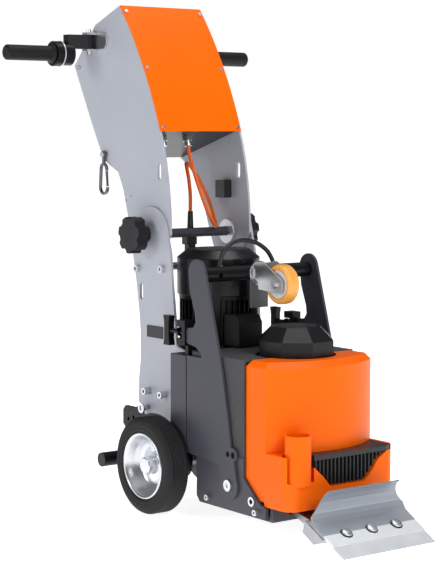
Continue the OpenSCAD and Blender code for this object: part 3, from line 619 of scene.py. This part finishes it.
# ---- Console -------------------------------------------------------------
# Two tall curved plates on the pivot tube, closed by a folded black box behind
# and a curved orange panel in front. Rivets follow the plates' front edge, 12 mm
# inside it. The tube's end discs are bright, and so are the glands over their clip.
DISC_X = 0.0958
pivot_coat = powder_coat("pivot_coat", frame_colour, 0.40)
sideways = pivot_coat.place("X")
disc = sideways.math("ABSOLUTE", sideways) > DISC_X
pivot_coat.feed("Base Color", pivot_coat.mix(disc, frame_colour, (0.70, 0.72, 0.74)))
pivot_coat.feed("Metallic", 0.6 * disc)
pivot_coat.feed("Roughness", 0.42 - 0.12 * disc)
softened("pivot_tube", pivot_coat, 0.0010)
for node in ("upper_right", "upper_left"):
    softened(node, silver_coat, 0.0010)
# The front edge bows out from the chord between its two ends by 4 * bulge * t * (1 - t).
PLATE_FACE = 0.106
RIVET_SET_BACK = 0.012
EDGE_BULGE = 0.0124
rivet_profile = [(-0.0004, 0.0), (-0.0004, 0.0026), (0.0004, 0.0024), (0.0008, 0.0012), (0.0009, 0.0)]
edge_foot = np.array([0.069, 0.783])
edge_run = np.array([0.220, 1.051]) - edge_foot
inward = np.array([edge_run[1], -edge_run[0]]) / np.hypot(*edge_run)
t = np.linspace(0.05, 0.95, 5)[:, None]
rivet_places = edge_foot + t * edge_run + inward * (RIVET_SET_BACK - 4 * EDGE_BULGE * t * (1 - t))
for side, word in ((-1, "right"), (1, "left")):
    for number, (y, z) in enumerate(rivet_places, 1):
        seat = (side * PLATE_FACE, float(y) + AXLE_Y, float(z))
        rivet = turned(f"rivet_{word}_{number}", rivet_profile, seat, (side, 0, 0), silver_coat, 16)
        mounted(rivet, "console", "plate_grey")
softened("front_panel", orange_coat, 0.0006, 25.0)
softened("box_back", black_coat, 0.0008)
CLIP_TOP = 0.70
nickel_colour = (0.60, 0.62, 0.65)
gland_nickel = plated("gland_nickel", nickel_colour, 0.28)
gland = gland_nickel.place("Z") > CLIP_TOP
gland_nickel.feed("Base Color", gland_nickel.mix(gland, (0.012, 0.012, 0.013), nickel_colour))
gland_nickel.feed("Metallic", gland)
softened("glands", gland_nickel, 0.0006)
hook_steel = plated("hook_steel", (0.20, 0.20, 0.21), 0.28)
for node in ("snap_hook", "hook_gate"):
    softened(node, hook_steel, 0.0012)


# ---- Knobs, handlebars and grips -----------------------------------------
# Star knobs of moulded plastic on the pivot, black coated folding bars, and
# soft rubber grips with a flange at the inner end and a plated collar.
knob_plastic = moulded("knob_plastic", (0.011, 0.011, 0.013), 0.38)
for node in ("knob_right", "knob_left"):
    softened(node, knob_plastic, 0.0030)
for node in ("bar_right", "bar_left"):
    softened(node, black_coat, 0.0015)
grip_rubber = moulded("grip_rubber", (0.006, 0.006, 0.007), 0.52, 450.0, 0.00015)
for node in ("grip_right", "grip_left"):
    softened(node, grip_rubber, 0.0015)
COLLAR_REACH = 0.0165  # from the grip's inner end to the collar
collar_profile = rounded([(0.0, 0.0240), (0.0, 0.0278), (0.0030, 0.0278), (0.0030, 0.0240),
                          (0.0, 0.0240)], 0.0006)
for side, word in ((-1, "right"), (1, "left")):
    low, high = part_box("grip_" + word)
    root = high.x if side < 0 else low.x
    seat = (root - side * COLLAR_REACH, (low.y + high.y) / 2, (low.z + high.z) / 2)
    collar = turned("collar_" + word, collar_profile, seat, (-side, 0, 0), zinc, 64)
    mounted(collar, "handle_" + word, "zinc")


# ---- Blade, deflector and carrier ----------------------------------------
# Ground spring-steel blade under a curled sheet deflector, bolted through both
# to the plated carrier that slides under the head. The deflector's colour holds
# painted light: a painted highlight at its curled lip, and painted shade on its
# upright stretch, which is darker than its flat foot.
carrier_zinc = plated("carrier_zinc", (0.40, 0.41, 0.44), 0.40, 30.0)
softened("blade_carrier", carrier_zinc, 0.0012)
blade_steel = plated("blade_steel", (0.74, 0.77, 0.80), 0.36, 20.0, (0.05, 1.0, 1.0), 0.00003, 0.35)
softened("blade", blade_steel, 0.0003)
sheet_steel = plated("sheet_steel", (0.46, 0.49, 0.53), 0.36, 14.0, (0.04, 1.0, 1.0), 0.00003, 0.35)
ramp = {"clamp": True}
# Painted highlight along the curled lip; painted shade makes the upright stretch darker than the flat foot.
lip_highlight_mask = sheet_steel.add("ShaderNodeMapRange", ramp, sheet_steel.place("Y"), -0.4095, -0.4115, 0.0, 1.0)
lit_foot_mask = sheet_steel.add("ShaderNodeMapRange", ramp, sheet_steel.place("Z"), 0.072, 0.066, 0.0, 1.0)
painted_shade_bands = sheet_steel.mix(lit_foot_mask, (0.27, 0.30, 0.34), (0.35, 0.38, 0.42))
sheet_steel.feed("Base Color", sheet_steel.mix(lip_highlight_mask, painted_shade_bands, (0.84, 0.87, 0.90)))
softened("deflector", sheet_steel, 0.0005, smooth_angle=9.0)
BLADE_ANGLE = math.radians(28.0)
EDGE_TO_BOLTS = 0.056  # along the floor, from the cutting edge to the row of bolts
BOLTS_Y = AXLE_Y - 0.478
BOLT_PITCH = 0.063
square_up = np.array((0.0, -math.sin(BLADE_ANGLE), math.cos(BLADE_ANGLE)))
washer_profile = [(0.0027, 0.0), (0.0027, 0.0128), (0.0034, 0.0124), (0.0034, 0.0)]
head_profile = rounded([(0.0036, 0.0), (0.0036, 0.0108), (0.0070, 0.0104), (0.0084, 0.0060),
                        (0.0086, 0.0)], 0.0012)
for place, word in ((-1, "right"), (0, "middle"), (1, "left")):
    seat = np.array((place * BOLT_PITCH, BOLTS_Y, EDGE_TO_BOLTS * math.tan(BLADE_ANGLE)))
    washer = turned("blade_washer_" + word, washer_profile, seat, square_up, black_coat, 40)
    mounted(washer, "blade_unit", "zinc")
    head = turned("blade_head_" + word, head_profile, seat, square_up, zinc, 40)
    mounted(head, "blade_unit", "zinc")


# ---- Pads and operator's controls ----------------------------------------
# Nylon pads that the carrier slides on, and moulded buttons and a rotary switch
# on the console's sloping rear face.
pad_nylon = moulded("pad_nylon", (0.78, 0.78, 0.75), 0.4)
softened("slide_pads", pad_nylon, 0.0004)
stop_red = moulded("stop_red", (0.62, 0.012, 0.010), 0.25, 300.0, 0.00001)
softened("stop_button", stop_red, 0.0025)
start_green = moulded("start_green", (0.02, 0.28, 0.05), 0.25, 300.0, 0.00001)
softened("start_button", start_green, 0.0010)
switch_black = moulded("switch_black", (0.018, 0.018, 0.020), 0.35)
softened("main_switch", switch_black, 0.0010)


# ---- Studio --------------------------------------------------------------
# A plain white floor that glows faintly, a banded grey sky that the camera sees
# as white, and three soft lamps that give the plates and the ballast their form.
FLOOR_HALF = 30
floor_mesh = bpy.data.meshes.new("floor")
floor_corners = [(x * FLOOR_HALF, y * FLOOR_HALF, 0) for x, y in ((-1, -1), (1, -1), (1, 1), (-1, 1))]
floor_mesh.from_pydata(floor_corners, [], [(0, 1, 2, 3)])
floor = bpy.data.objects.new("floor", floor_mesh)
bpy.context.scene.collection.objects.link(floor)
floor_finish = Finish("floor_finish", Base_Color=(0.93, 0.93, 0.93), Roughness=0.9, Specular_IOR_Level=0.1,
                      Emission_Color=(1.0, 1.0, 1.0), Emission_Strength=0.85)
floor_mesh.materials.append(floor_finish.material)


def lamp(name, place, target, size, power):
    """A square soft lamp at a place, aimed at a target; its side in metres and its power in watts."""
    data = bpy.data.lights.new(name, "AREA")
    data.size = size
    data.energy = power
    obj = bpy.data.objects.new(name, data)
    bpy.context.scene.collection.objects.link(obj)
    obj.location = place
    obj.rotation_euler = (Vector(target) - Vector(place)).to_track_quat("-Z", "Y").to_euler()


lamp("key_lamp", (-0.4, -4.2, 2.6), (0, 0, 0.4), 1.6, 88)
lamp("side_lamp", (-4.0, 0.9, 1.7), (0, 0.1, 0.7), 1.0, 44)
lamp("top_lamp", (0.6, -0.3, 4.0), (0, 0, 0), 2.0, 50)
world = bpy.data.worlds.new("studio")
world.use_nodes = True
sky = world.node_tree
direction = sky.nodes.new("ShaderNodeTexCoord").outputs["Generated"]
height = sky.nodes.new("ShaderNodeSeparateXYZ")
sky.links.new(direction, height.inputs[0])
bands = sky.nodes.new("ShaderNodeValToRGB")
TOP_GREY = 0.6
for place, grey in ((0.0, 0.50), (0.10, 0.14), (0.45, 0.10), (0.72, 0.30)):
    band = bands.color_ramp.elements.new(place)
    band.color = (grey, grey, grey * 1.04, 1.0)
bands.color_ramp.elements.remove(bands.color_ramp.elements[0])
bands.color_ramp.elements[-1].color = (TOP_GREY, TOP_GREY, TOP_GREY, 1.0)
sky.links.new(height.outputs["Z"], bands.inputs[0])
seen = sky.nodes.new("ShaderNodeLightPath").outputs["Is Camera Ray"]
choice = sky.nodes.new("ShaderNodeMix")
choice.data_type = "RGBA"
choice.inputs[7].default_value = (1.0, 1.0, 1.0, 1.0)
sky.links.new(seen, choice.inputs[0])
sky.links.new(bands.outputs[0], choice.inputs[6])
sky.links.new(choice.outputs[2], sky.nodes["Background"].inputs["Color"])
bpy.context.scene.world = world
bpy.context.scene.view_settings.view_transform = "Standard"
